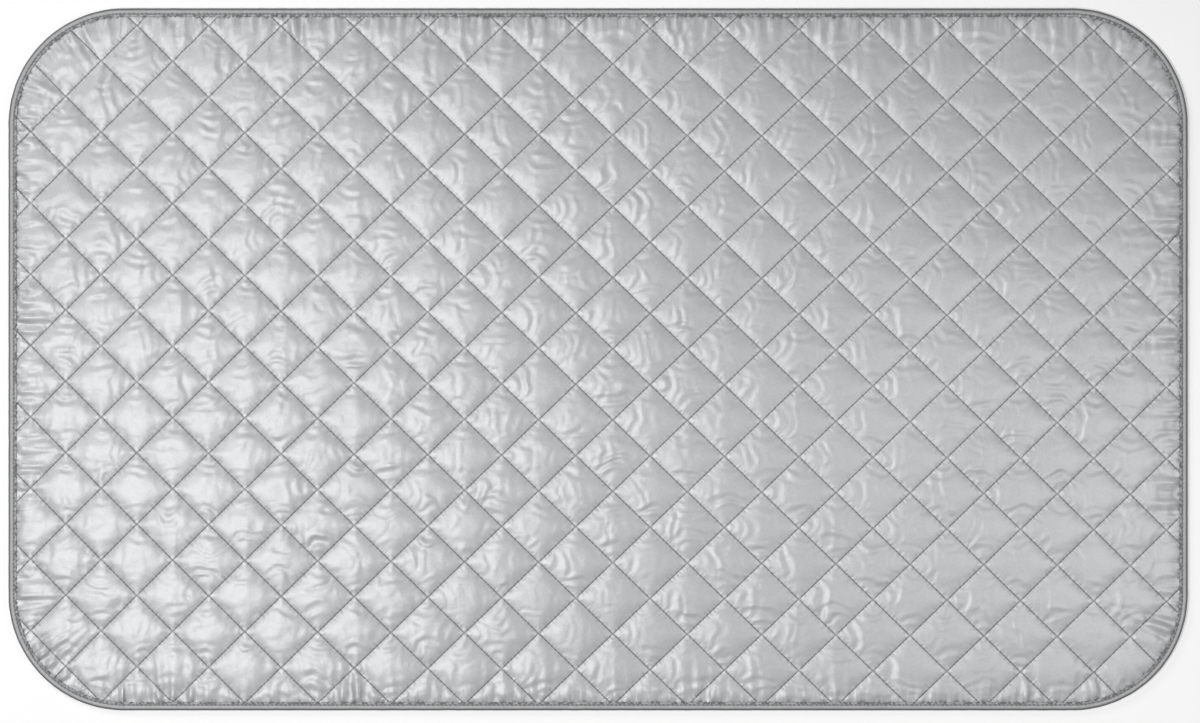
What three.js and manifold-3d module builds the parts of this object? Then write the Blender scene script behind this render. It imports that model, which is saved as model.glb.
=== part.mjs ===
// Quilted ironing pad: a metallised face cloth sewn in diamonds over wadding and a backing cloth,
// with a folded tape bound and stitched round the edge.
// Millimetres, +Z up. The pad lies face up on z = 0, with X along its length and the origin under
// its middle.

import * as THREE from 'three';
import { mergeVertices } from 'three/addons/utils/BufferGeometryUtils.js';
import Module from 'manifold-3d';

const wasm = await Module();
wasm.setup();

// Outline of the pad, measured over the binding
const padLength = 813;
const padWidth = 484;
const cornerRadius = 80;
const cornerHalfFlats = 5;

// Layers, from the table upwards. The wadding fills the space between the two cloths.
const layerGap = 0.2;
const backingThickness = 0.4;
const waddingHemThickness = 0.4;
const faceThickness = 0.4;
const faceHemThickness = 0.35;
const puffHeight = 1.9;
const drawInWidth = 14;

// Edge binding, a tape folded over the hem of the three layers, clear of the table
const tapeThickness = 0.5;
const bindingWidth = 6;
const bindingLift = 0.2;
const foldRound = 0.3;
const bindingSeamInset = 2.1;

// Sewing thread
const threadWidth = 0.4;
const threadThickness = 0.4;

// Quilting: diamonds, with one crossing of the seams set off from the pad's middle. Sewing draws the
// quilting in towards the pad's ends, from a line that stays where it is.
const diamondLength = 51.25;
const diamondWidth = 49.1;
const quiltOffsetX = 10.15;
const quiltOffsetY = 7.3;
const quiltSkewDegrees = 0.33;
const endGather = 5.65;
const gatherLineX = 70;
const shortestThread = 90;

// Heights of the pieces at the hem, in the order in which they lie on each other
const underThreadZ = bindingLift;
const lowerLegZ = underThreadZ + threadThickness + layerGap;
const backingHemZ = lowerLegZ + tapeThickness + layerGap;
const waddingHemZ = backingHemZ + backingThickness + layerGap;
const waddingTopZ = waddingHemZ + waddingHemThickness;
const faceZ = waddingTopZ + layerGap;
const seamZ = faceZ + faceThickness;
const upperLegZ = faceZ + faceHemThickness + layerGap;
const bindingTopZ = upperLegZ + tapeThickness;
const crownZ = seamZ + puffHeight;

// Distances inwards from the pad's edge
const hemInset = tapeThickness + layerGap;
const fieldInset = bindingWidth + drawInWidth;
const seamInset = bindingWidth - bindingSeamInset;

// The pad's outline as a shape, moved inwards by a distance
function outlineShape(inset) {
  const centreX = padLength / 2 - cornerRadius;
  const centreY = padWidth / 2 - cornerRadius;
  const radius = cornerRadius - inset;
  const quarter = Math.PI / 2;
  const shape = new THREE.Shape();
  shape.absarc(centreX, centreY, radius, 0, quarter);
  shape.absarc(-centreX, centreY, radius, quarter, 2 * quarter);
  shape.absarc(-centreX, -centreY, radius, 2 * quarter, 3 * quarter);
  shape.absarc(centreX, -centreY, radius, 3 * quarter, 4 * quarter);
  return shape;
}

// A profile of [inset, z] points carried round the pad's outline. The profile runs outwards along
// the bottom, up and back inwards along the top. An open profile is closed by flat caps, and a
// closed one makes a ring.
function carriedRound(profile, closed) {
  const rings = profile.map(([inset]) => outlineShape(inset).getPoints(cornerHalfFlats));
  const count = rings[0].length;
  const positions = rings.flatMap((ring, k) => ring.flatMap((point) => [point.x, point.y, profile[k][1]]));
  const triangles = [];
  const lastBand = closed ? rings.length : rings.length - 1;
  for (let k = 0; k < lastBand; k += 1) {
    const lower = k * count;
    const upper = ((k + 1) % rings.length) * count;
    for (let i = 0; i < count; i += 1) {
      const next = (i + 1) % count;
      triangles.push(lower + i, lower + next, upper + i);
      triangles.push(upper + i, lower + next, upper + next);
    }
  }
  if (!closed) {
    const top = (rings.length - 1) * count;
    THREE.ShapeUtils.triangulateShape(rings[0], []).forEach(([a, b, c]) => triangles.push(a, c, b));
    THREE.ShapeUtils.triangulateShape(rings.at(-1), []).forEach(([a, b, c]) => {
      triangles.push(top + a, top + b, top + c);
    });
  }
  return indexedGeometry(positions, triangles);
}

function indexedGeometry(positions, triangles) {
  const geometry = new THREE.BufferGeometry();
  geometry.setAttribute('position', new THREE.Float32BufferAttribute(positions, 3));
  geometry.setIndex(triangles);
  return geometry;
}

// The part that two closed solids share
function sharedSolid(first, second) {
  const mesh = asManifold(first).intersect(asManifold(second)).getMesh();
  return indexedGeometry(Array.from(mesh.vertProperties), Array.from(mesh.triVerts));
}

function asManifold(geometry) {
  const merged = mergeVertices(geometry);
  return new wasm.Manifold(new wasm.Mesh({
    numProp: 3,
    vertProperties: new Float32Array(merged.attributes.position.array),
    triVerts: new Uint32Array(merged.index.array),
  }));
}

// A point of the quilting, counted in half diamonds. The seams cross where column + row is even,
// and a diamond has its middle where it is odd. The gather grows as the cube of the distance from
// its line, and is endGather at half the pad's length.
function quiltPoint(column, row) {
  const along = column * diamondLength / 2;
  const evenX = quiltOffsetX + along;
  const gather = endGather * ((evenX - gatherLineX) / (padLength / 2)) ** 3;
  const skew = Math.tan(THREE.MathUtils.degToRad(quiltSkewDegrees));
  return new THREE.Vector2(evenX - gather, quiltOffsetY + row * diamondWidth / 2 - along * skew);
}

// Half diamonds from the middle of the pad to past its edges
const columnReach = Math.ceil((padLength / 2 + Math.abs(quiltOffsetX)) / (diamondLength / 2)) + 1;
const rowReach = Math.ceil((padWidth / 2 + Math.abs(quiltOffsetY)) / (diamondWidth / 2)) + 1;

// A block whose top rises from the seams to a crown in every diamond, larger than the pad
function quiltedBlock() {
  const columns = 2 * columnReach + 1;
  const rows = 2 * rowReach + 1;
  const positions = [];
  for (let row = -rowReach; row <= rowReach; row += 1) {
    for (let column = -columnReach; column <= columnReach; column += 1) {
      const point = quiltPoint(column, row);
      const isCrossing = (column + row) % 2 === 0;
      positions.push(point.x, point.y, isCrossing ? seamZ : crownZ);
    }
  }
  const topCount = positions.length / 3;
  for (let k = 0; k < topCount; k += 1) {
    positions.push(positions[3 * k], positions[3 * k + 1], 0);
  }
  const triangles = [];
  const addFacet = (a, b, c) => {
    triangles.push(a, b, c);
    triangles.push(topCount + a, topCount + c, topCount + b);
  };
  for (let row = 0; row < rows - 1; row += 1) {
    for (let column = 0; column < columns - 1; column += 1) {
      const corner = row * columns + column;
      const right = corner + 1;
      const above = corner + columns;
      const across = above + 1;
      const startsAtCrossing = (column - columnReach + row - rowReach) % 2 === 0;
      if (startsAtCrossing) {
        addFacet(corner, right, across);
        addFacet(corner, across, above);
      } else {
        addFacet(corner, right, above);
        addFacet(right, across, above);
      }
    }
  }
  const addWall = (a, b) => {
    triangles.push(a, topCount + a, b);
    triangles.push(b, topCount + a, topCount + b);
  };
  const lastRow = (rows - 1) * columns;
  for (let column = 0; column < columns - 1; column += 1) {
    addWall(column, column + 1);
    addWall(lastRow + column + 1, lastRow + column);
  }
  for (let row = 0; row < rows - 1; row += 1) {
    addWall((row + 1) * columns, row * columns);
    addWall((row + 1) * columns - 1, (row + 2) * columns - 1);
  }
  return indexedGeometry(positions, triangles);
}

// The space that the face cloth fills: flat in the binding, then rising to the crowns
function faceEnvelope() {
  return carriedRound([
    [hemInset, faceZ],
    [hemInset, faceZ + faceHemThickness],
    [bindingWidth, faceZ + faceHemThickness],
    [fieldInset, crownZ + faceThickness],
  ], false);
}

function faceCloth() {
  return sharedSolid(faceEnvelope(), quiltedBlock());
}

// The wadding lies on the backing and is pressed thin in the binding
function wadding() {
  return carriedRound([
    [fieldInset, backingThickness + layerGap],
    [bindingWidth, waddingHemZ],
    [hemInset, waddingHemZ],
    [hemInset, waddingTopZ],
  ], false);
}

// The backing lies flat on the table and steps up into the binding
function backingCloth() {
  return carriedRound([
    [fieldInset, 0],
    [bindingWidth, backingHemZ],
    [hemInset, backingHemZ],
    [hemInset, backingHemZ + backingThickness],
    [bindingWidth, backingHemZ + backingThickness],
    [fieldInset, backingThickness],
  ], false);
}

// The tape's section is a C that opens towards the middle of the pad
function edgeBinding() {
  return carriedRound([
    [bindingWidth, lowerLegZ],
    [foldRound, lowerLegZ],
    [0, lowerLegZ + foldRound],
    [0, bindingTopZ - foldRound],
    [foldRound, bindingTopZ],
    [bindingWidth, bindingTopZ],
    [bindingWidth, upperLegZ],
    [tapeThickness, upperLegZ],
    [tapeThickness, lowerLegZ + tapeThickness],
    [bindingWidth, lowerLegZ + tapeThickness],
  ], true);
}

// One thread of the binding's seam, with its underside at a height
function bindingThread(z) {
  const inner = seamInset + threadWidth / 2;
  const outer = seamInset - threadWidth / 2;
  return carriedRound([
    [inner, z],
    [outer, z],
    [outer, z + threadThickness],
    [inner, z + threadThickness],
  ], true);
}

// Distance of a point inside the edge of the quilted field. Threads end there, short of the
// binding, whose corners have flats that lie inside the true arc.
function depthInField(point) {
  const inset = bindingWidth + layerGap + threadWidth;
  const flatAngle = Math.PI / 4 / cornerHalfFlats;
  const radius = (cornerRadius - inset) * Math.cos(flatAngle / 2);
  const beyondX = Math.abs(point.x) - (padLength / 2 - cornerRadius);
  const beyondY = Math.abs(point.y) - (padWidth / 2 - cornerRadius);
  const outside = Math.hypot(Math.max(beyondX, 0), Math.max(beyondY, 0));
  return radius - outside - Math.min(Math.max(beyondX, beyondY), 0);
}

// Where the line from a point in the field to a point outside it meets the field's edge
function edgeCrossing(inside, outside) {
  const halvings = 40;
  let near = inside.clone();
  let far = outside.clone();
  for (let k = 0; k < halvings; k += 1) {
    const middle = near.clone().lerp(far, 0.5);
    if (depthInField(middle) > 0) {
      near = middle;
    } else {
      far = middle;
    }
  }
  return near;
}

// The longest unbroken stretch of a path that lies in the field
function longestStretch(path) {
  const stretches = [[]];
  path.forEach((point, k) => {
    const before = path[k - 1];
    const isInside = depthInField(point) > 0;
    const wasInside = k > 0 && depthInField(before) > 0;
    if (isInside && !wasInside) {
      stretches.push(k > 0 ? [edgeCrossing(point, before)] : []);
    }
    if (isInside) {
      stretches.at(-1).push(point);
    }
    if (wasInside && !isInside) {
      stretches.at(-1).push(edgeCrossing(before, point));
    }
  });
  return stretches.reduce((best, stretch) => (stretch.length > best.length ? stretch : best));
}

// The path of one needle, which swings between two columns of crossings and turns short of them
function needlePath(column) {
  const turnInset = threadWidth * Math.SQRT1_2 + layerGap / 2;
  const path = [];
  for (let row = -rowReach; row <= rowReach; row += 1) {
    const isLeft = (column + row) % 2 === 0;
    const point = quiltPoint(isLeft ? column : column + 1, row);
    point.x += isLeft ? turnInset : -turnInset;
    path.push(point);
  }
  return longestStretch(path);
}

// Direction of the run of a path that leaves a point, or of the nearest run at the path's ends
function runDirection(path, k) {
  const start = THREE.MathUtils.clamp(k, 0, path.length - 2);
  return path[start + 1].clone().sub(path[start]).normalize();
}

// A flat strip along a path, mitred at its turns
function stripAlong(path, width, thickness) {
  const sides = path.map((point, k) => {
    const leaving = runDirection(path, k);
    const bisector = runDirection(path, k - 1).add(leaving).normalize();
    const across = new THREE.Vector2(-bisector.y, bisector.x);
    return across.multiplyScalar(width / 2 / bisector.dot(leaving));
  });
  const leftSide = path.map((point, k) => point.clone().add(sides[k]));
  const rightSide = path.map((point, k) => point.clone().sub(sides[k]));
  const shape = new THREE.Shape([...rightSide, ...leftSide.reverse()]);
  return new THREE.ExtrudeGeometry(shape, { depth: thickness, bevelEnabled: false });
}

function pathLength(path) {
  return path.slice(1).reduce((sum, point, k) => sum + point.distanceTo(path[k]), 0);
}

// Finishes
const metallisedCloth = { color: 0xc3c5c8, roughness: 0.42, metalness: 0.6 };
const bindingTape = { color: 0xb4b5b8, roughness: 0.62, metalness: 0.1 };
const sewingThread = { color: 0x9b9da1, roughness: 0.55, metalness: 0 };
const fibreWadding = { color: 0xeeede8, roughness: 0.95, metalness: 0 };
const backingCotton = { color: 0xdcd9d2, roughness: 0.9, metalness: 0 };

function piece(name, geometry, finish) {
  const mesh = new THREE.Mesh(geometry, new THREE.MeshStandardMaterial(finish));
  mesh.name = name;
  return mesh;
}

// One needle thread for each column that crosses the pad, lying in the grooves of the seams
function quiltingThreads() {
  const group = new THREE.Group();
  group.position.z = seamZ + layerGap;
  for (let column = -columnReach; column < columnReach; column += 1) {
    const path = needlePath(column);
    if (pathLength(path) > shortestThread) {
      const name = `quilting_thread_${String(group.children.length + 1).padStart(2, '0')}`;
      group.add(piece(name, stripAlong(path, threadWidth, threadThickness), sewingThread));
    }
  }
  return group;
}

const pad = new THREE.Group();
pad.add(piece('backing_cloth', backingCloth(), backingCotton));
pad.add(piece('wadding', wadding(), fibreWadding));
pad.add(piece('face_cloth', faceCloth(), metallisedCloth));
pad.add(piece('edge_binding', edgeBinding(), bindingTape));
pad.add(piece('binding_thread_top', bindingThread(bindingTopZ + layerGap), sewingThread));
pad.add(piece('binding_thread_under', bindingThread(underThreadZ), sewingThread));
pad.add(quiltingThreads());

export default pad;
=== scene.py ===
"""Quilted ironing pad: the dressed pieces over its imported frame, with a plain studio."""

import logging
import math
from dataclasses import dataclass, field
from enum import Enum

import bpy
import numpy as np
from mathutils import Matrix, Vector


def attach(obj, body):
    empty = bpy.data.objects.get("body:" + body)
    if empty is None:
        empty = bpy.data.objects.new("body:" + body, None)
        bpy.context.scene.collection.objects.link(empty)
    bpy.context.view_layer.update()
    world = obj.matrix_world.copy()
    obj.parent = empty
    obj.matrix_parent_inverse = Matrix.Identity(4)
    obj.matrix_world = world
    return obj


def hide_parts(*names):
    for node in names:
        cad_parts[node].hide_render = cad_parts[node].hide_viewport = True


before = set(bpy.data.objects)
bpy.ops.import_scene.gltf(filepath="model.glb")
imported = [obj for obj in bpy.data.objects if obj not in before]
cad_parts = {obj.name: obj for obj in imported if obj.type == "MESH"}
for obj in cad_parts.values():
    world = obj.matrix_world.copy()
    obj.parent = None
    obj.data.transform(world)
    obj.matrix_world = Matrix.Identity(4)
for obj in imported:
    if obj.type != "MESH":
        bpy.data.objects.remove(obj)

LOG = logging.getLogger("ironing_pad")
MM = 0.001
BAKE_MAP = "OFBake"
BRIGHTEST = 1.22

Array = np.ndarray
Colour = tuple[float, float, float]


class Slot(Enum):
    """The record's material slots."""

    FACE = "metallised_cloth"
    TAPE = "binding_tape"
    THREAD = "sewing_thread"
    WADDING = "fibre_wadding"
    BACKING = "backing_cotton"


class Value:
    """A shader socket that can stand in a sum, so that an expression adds its Math nodes."""

    def __init__(self, graph: "ShaderGraph", socket: bpy.types.NodeSocket) -> None:
        """Keeps the graph that new nodes go to, and the socket.

        Args:
            graph: the material's graph.
            socket: an output socket of one of its nodes.
        """
        self.graph = graph
        self.socket = socket

    def math(self, operation: str, *others: "Value | float", swapped: bool = False) -> "Value":
        """Adds a Math node.

        Args:
            operation: the Math node's operation.
            others: the second and third numbers, where the operation takes them.
            swapped: whether this value is the second number and not the first.

        Returns:
            The node's result.
        """
        numbers = [self, *others]
        if swapped:
            numbers.reverse()
        return self.graph.node("ShaderNodeMath", {"operation": operation}, dict(enumerate(numbers)))

    def __add__(self, other: "Value | float") -> "Value":
        """This value plus another."""
        return self.math("ADD", other)

    __radd__ = __add__

    def __sub__(self, other: "Value | float") -> "Value":
        """This value less another."""
        return self.math("SUBTRACT", other)

    def __rsub__(self, other: "Value | float") -> "Value":
        """Another value less this one."""
        return self.math("SUBTRACT", other, swapped=True)

    def __mul__(self, other: "Value | float") -> "Value":
        """This value times another."""
        return self.math("MULTIPLY", other)

    __rmul__ = __mul__

    def __truediv__(self, other: "Value | float") -> "Value":
        """This value divided by another."""
        return self.math("DIVIDE", other)

    def __rtruediv__(self, other: "Value | float") -> "Value":
        """Another value divided by this one."""
        return self.math("DIVIDE", other, swapped=True)

    def __abs__(self) -> "Value":
        """This value without its sign."""
        return self.math("ABSOLUTE")

    def sine(self) -> "Value":
        """The sine of this value."""
        return self.math("SINE")

    def off_whole(self) -> "Value":
        """How far this value is from the nearest whole number, from 0 to 0.5."""
        return abs((self + 0.5).math("FRACT") - 0.5)

    def most(self, *others: "Value") -> "Value":
        """The greatest of this value and others.

        Args:
            others: the other values.

        Returns:
            The greatest.
        """
        greatest = self
        for other in others:
            greatest = greatest.math("MAXIMUM", other)
        return greatest

    def ramp(self, low: float, high: float, start: float = 0.0, end: float = 1.0) -> "Value":
        """A smooth step from one number to another as this value goes from low to high.

        Args:
            low: where the step starts.
            high: where it ends, which may be less.
            start: the number at low.
            end: the number at high.

        Returns:
            The stepped value.
        """
        limits = {"From Min": low, "From Max": high, "To Min": start, "To Max": end}
        settings = {"interpolation_type": "SMOOTHSTEP"}
        return self.graph.node("ShaderNodeMapRange", settings, {"Value": self, **limits})


class ShaderGraph:
    """The nodes of a material or of the world, with one method that adds any node."""

    def __init__(self, owner: bpy.types.Material | bpy.types.World) -> None:
        """Empties the nodes of a new material or world.

        Args:
            owner: the material or world.
        """
        self.owner = owner
        owner.use_nodes = True
        self.tree = owner.node_tree
        self.tree.nodes.clear()

    @classmethod
    def of_material(cls, name: str) -> "ShaderGraph":
        """The empty graph of a new material of that name."""
        return cls(bpy.data.materials.new(name))

    def node(
        self,
        kind: str,
        settings: dict[str, object] | None = None,
        inputs: dict[int | str, object] | None = None,
        result: int | str = 0,
    ) -> Value | None:
        """Adds a node, sets its settings, then fills its sockets.

        Args:
            kind: the node's type.
            settings: the node's own settings, set first.
            inputs: a value or another node's result for each socket, by name or number.
            result: the output socket that is wanted, by name or number.

        Returns:
            That output, or nothing for a node that has none.
        """
        made = self.tree.nodes.new(kind)
        for name, setting in (settings or {}).items():
            setattr(made, name, setting)
        for name, given in (inputs or {}).items():
            if isinstance(given, Value):
                self.tree.links.new(given.socket, made.inputs[name])
            else:
                made.inputs[name].default_value = given
        return Value(self, made.outputs[result]) if made.outputs else None

    def place(self) -> Value:
        """Object coordinates, in metres."""
        return self.node("ShaderNodeTexCoord", result="Object")

    def attribute(self, name: str) -> tuple[Value, Value, Value]:
        """The three numbers of a mesh's own attribute of that name."""
        return self.parts(self.node("ShaderNodeAttribute", {"attribute_name": name}, result="Vector"))

    def parts(self, vector: Value) -> tuple[Value, Value, Value]:
        """A vector's three numbers."""
        split = self.node("ShaderNodeSeparateXYZ", inputs={0: vector}).socket.node
        return tuple(Value(self, split.outputs[k]) for k in range(3))

    def noise(
        self, scale: float, detail: float = 3.0, roughness: float = 0.5, spot: Value | None = None
    ) -> Value:
        """Cloudy noise from 0 to 1.

        Args:
            scale: how many clouds there are to a unit.
            detail: how many times finer clouds are added.
            roughness: how strong the finer ones are.
            spot: the coordinates, where they are not the object's own in metres.

        Returns:
            The noise.
        """
        numbers = {"Vector": spot or self.place(), "Scale": scale, "Detail": detail, "Roughness": roughness}
        return self.node("ShaderNodeTexNoise", inputs=numbers, result="Fac")

    def looked_at(self) -> Value:
        """Tells the rays that look from those that only light.

        Returns:
            1 on a ray from the camera, off something shiny or through something clear, and else 0.
        """
        camera = self.node("ShaderNodeLightPath", result="Is Camera Ray")
        rays = camera.socket.node.outputs
        return camera.most(*(Value(self, rays[kind]) for kind in ("Is Glossy Ray", "Is Transmission Ray")))

    def blend(self, factor: Value, first: object, second: object) -> Value:
        """A colour between two colours, by a factor from 0 to 1."""
        settings = {"data_type": "RGBA"}
        return self.node("ShaderNodeMix", settings, {0: factor, 6: first, 7: second}, result=2)

    def bump(self, height: Value, distance: float) -> Value:
        """A normal tilted by a height from 0 to 1 that is distance metres high."""
        numbers = {"Height": height, "Distance": distance, "Strength": 1.0}
        return self.node("ShaderNodeBump", inputs=numbers, result="Normal")

    def principled(self, **sockets: object) -> Value:
        """The surface's shader; a socket's name has its spaces written as underscores."""
        named = {name.replace("_", " "): given for name, given in sockets.items()}
        return self.node("ShaderNodeBsdfPrincipled", inputs=named)

    def finish(self, shader: Value) -> bpy.types.Material:
        """Sends a shader to a material's output and gives the material."""
        self.node("ShaderNodeOutputMaterial", inputs={"Surface": shader})
        return self.owner


def rgba(colour: Colour) -> tuple[float, float, float, float]:
    """A colour as a socket takes it."""
    return (*colour, 1.0)


def shaded(colour: Colour, share: float) -> tuple[float, float, float, float]:
    """A colour made darker to a share of itself, as a socket takes it."""
    return rgba(tuple(part * share for part in colour))


@dataclass(frozen=True)
class MetallisedCloth:
    """The silver face cloth: a close weave under a thin metal coating, pinched at its stitches, with
    painted shade in its seams and gathers and painted highlights round the seam crossings.
    """

    silver: Colour = (0.500, 0.504, 0.512)
    side: float = 35.3
    stitches_a_side: float = 11.0
    seam_shade: float = 0.76
    gather_shade: float = 0.55
    held: float = 6.0
    thread_pitch: float = 0.55 * MM
    seam_pleats: tuple[float, float] = (4.5, 0.50)
    edge_pleats: tuple[float, float] = (15.0, 0.20)
    metal: float = 0.40
    relief: float = 0.22 * MM

    def pleats(self, graph: ShaderGraph, along: Value, away: Value, reach: float, close: float) -> Value:
        """Fine pleats square to a stitched line: noise that is quick along it and slow across it.

        Args:
            graph: the material's graph.
            along: the way along the line, in millimetres.
            away: the distance from it, in millimetres.
            reach: how far the pleats go before they have faded.
            close: how many there are to a millimetre.

        Returns:
            The pleats' height, about nought.
        """
        spot = graph.node("ShaderNodeCombineXYZ", inputs={0: along, 1: away * 0.15, 2: along * 0.1})
        return (graph.noise(close, 2.0, 0.6, spot) - 0.5) * away.ramp(reach, 0.3)

    def stitched(self, along: Value, away: Value) -> Value:
        """Painted shade in a seam's groove: a thin dark line with a dark dot at each needle hole, where
        shade falls.

        Args:
            along: the way along the seam, in sides of a diamond.
            away: the distance from it, in millimetres.

        Returns:
            The painted shade, from 0 to 1.
        """
        holes = (along * self.stitches_a_side).off_whole().ramp(0.34, 0.10)
        return away.ramp(0.62, 0.12) * 0.72 + away.ramp(0.85, 0.25) * holes * 0.28

    def material(self) -> bpy.types.Material:
        """Builds the finish.

        The quilt attribute holds the column and row of the quilting in half diamonds, so half their
        sum and half their difference count the diamonds along the two seam directions. The distance
        from the nearest whole number gives the distance from a seam. The edge attribute holds the
        run along the edge and the depth inside it, in millimetres.

        Returns:
            The material.
        """
        graph = ShaderGraph.of_material("metallised_cloth")
        column, row, _ = graph.attribute("quilt")
        run, depth, _ = graph.attribute("edge")
        fall = (column + row) * 0.5
        rise = (column - row) * 0.5
        from_fall = fall.off_whole() * self.side
        from_rise = rise.off_whole() * self.side
        inside = depth - self.held
        edge_pleats = self.pleats(graph, run, inside, *self.edge_pleats)
        pleats = self.pleats(graph, rise * self.side, from_fall, *self.seam_pleats)
        pleats = pleats + self.pleats(graph, fall * self.side, from_rise, *self.seam_pleats)
        clouds = graph.noise(7.0, 2.0)
        flecks = graph.noise(900.0, 3.0, 0.7)
        crumple = graph.noise(200.0, 4.0, 0.72)
        across, up, _ = graph.parts(graph.place())
        turn = math.pi / self.thread_pitch
        weave = (across * turn).sine() * (up * turn).sine()
        near = from_fall.most(from_rise)
        # painted highlight: a lighter ring round each seam crossing
        crossing_highlight = near.ramp(3.4, 1.8) * near.ramp(0.7, 1.5)
        # the tone also follows the pleats' height: painted light on their crests and painted shade in their
        # hollows
        tone = 0.62 + clouds * 0.12 + flecks * 0.28 + 0.5 * pleats + 0.4 * edge_pleats + 0.20 * crossing_highlight
        silver = graph.blend(tone, shaded(self.silver, 0.0), shaded(self.silver, BRIGHTEST))
        # painted shade along the seam grooves and in the needle holes of both seam directions
        line = self.stitched(rise, from_fall).most(self.stitched(fall, from_rise))
        # painted highlight: the painted seam shade is lifted by up to a third right at the crossings
        crossing = near.ramp(1.6, 0.8)
        # painted shade in the hollows of the gathers beside the binding
        gathers = (edge_pleats * 5.0).ramp(0.1, -0.9) * inside.ramp(2.6, 0.2)
        dark = (line * self.seam_shade * (1.0 - 0.3 * crossing)).most(gathers * self.gather_shade)
        colour = graph.blend(dark, silver, shaded(self.silver, 0.10))
        roughness = 0.420 + clouds * 0.04 + flecks * 0.06
        height = 0.5 + 0.10 * weave * weave + 1.1 * (crumple - 0.5) + 4.0 * pleats + 4.5 * edge_pleats
        return graph.finish(
            graph.principled(
                Base_Color=colour,
                Metallic=self.metal,
                Roughness=roughness,
                Normal=graph.bump(height, self.relief),
            )
        )


@dataclass(frozen=True)
class BindingTape:
    """The woven edge tape, with painted shade on its outer fold and in the braid of puckers along its
    stitches.
    """

    grey: Colour = (0.55, 0.554, 0.562)
    fold_shade: float = 0.76
    braid_shade: float = 0.68
    rib_pitch: float = 0.7
    pick_pitch: float = 0.6
    metal: float = 0.12
    relief: float = 0.20 * MM

    def material(self) -> bpy.types.Material:
        """Builds the finish.

        The strip attribute holds the run along the edge and the distance across the tape from its
        upper inner edge, both in millimetres, and how deep in a stitch dimple the tape is. The
        braid is painted shade: noise about as long as a stitch, cut off into patches and joined to
        painted shade in the dimples and along the inner edge.

        Returns:
            The material.
        """
        graph = ShaderGraph.of_material("binding_tape")
        run, across, dimple = graph.attribute("strip")
        ribs = (run * (math.pi / self.rib_pitch)).sine()
        picks = (across * (math.pi / self.pick_pitch)).sine()
        weave = ribs * ribs * 0.6 + picks * picks * 0.4
        clouds = graph.noise(60.0, 3.0)
        flecks = graph.noise(900.0, 2.0, 0.7)
        tone = 0.55 + clouds * 0.22 + flecks * 0.26 + weave * 0.06
        grey = graph.blend(tone, shaded(self.grey, 0.0), shaded(self.grey, BRIGHTEST))
        # painted shade on the outer fold, where the tape turns under
        fold = across.ramp(4.3, 5.6) * across.ramp(10.4, 8.6)
        spot = graph.node("ShaderNodeCombineXYZ", inputs={0: run + across * 0.5, 1: across, 2: 0.0})
        patches = graph.noise(0.30, 2.0, 0.6, spot).ramp(0.45, 0.54)
        # painted shade in the stitch dimples and along the tape's inner edge
        sewn = dimple.ramp(0.15, 0.7) * 0.5
        inner_edge_shade = across.ramp(0.8, 0.2) * 0.8
        braid = (across.ramp(2.3, 1.2) * patches).most(sewn, inner_edge_shade)
        dark = (fold * self.fold_shade).most(braid * self.braid_shade)
        colour = graph.blend(dark, grey, shaded(self.grey, 0.09))
        roughness = 0.50 + flecks * 0.14
        height = 0.5 + 0.3 * weave + 0.3 * (clouds - 0.5) - 0.8 * braid
        return graph.finish(
            graph.principled(
                Base_Color=colour,
                Metallic=self.metal,
                Roughness=roughness,
                Normal=graph.bump(height, self.relief),
            )
        )


@dataclass(frozen=True)
class SewingThread:
    """Grey spun thread with painted light and shade along its twist, and painted shade where it goes into a
    needle hole.
    """

    grey: Colour = (0.33, 0.333, 0.34)
    twist: float = 1.1
    shade_in_hole: float = 0.45

    def material(self) -> bpy.types.Material:
        """Builds the finish.

        The lay attribute holds the run along the thread in millimetres, the share of the way round
        it and how far it is in a needle hole, so the twist is a wave along the first two's sum.

        Returns:
            The material.
        """
        graph = ShaderGraph.of_material("sewing_thread")
        run, around, sunk = graph.attribute("lay")
        # painted light and shade along the twist of the plies, from darker and brighter copies of the grey
        ply = ((run / self.twist + around * 2.0) * (2 * math.pi)).sine()
        lit = graph.blend(0.62 + 0.28 * ply, shaded(self.grey, 0.6), shaded(self.grey, 1.2))
        # painted shade where the thread goes into a needle hole
        colour = graph.blend(sunk.ramp(0.1, 0.8), lit, shaded(self.grey, self.shade_in_hole))
        return graph.finish(graph.principled(Base_Color=colour, Roughness=0.62))


@dataclass(frozen=True)
class FibreWadding:
    """Loose white fibres pressed into a sheet."""

    white: Colour = (0.80, 0.79, 0.76)

    def material(self) -> bpy.types.Material:
        """Builds the finish from two noises, one of clumps and one of fibres.

        Returns:
            The material.
        """
        graph = ShaderGraph.of_material("fibre_wadding")
        clumps = graph.noise(90.0, 4.0)
        fibres = graph.noise(1500.0, 3.0, 0.8)
        colour = graph.blend(0.55 * clumps + 0.45 * fibres, shaded(self.white, 0.82), rgba(self.white))
        normal = graph.bump(0.6 * clumps + 0.4 * fibres, 0.5 * MM)
        return graph.finish(graph.principled(Base_Color=colour, Roughness=0.95, Normal=normal))


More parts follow.
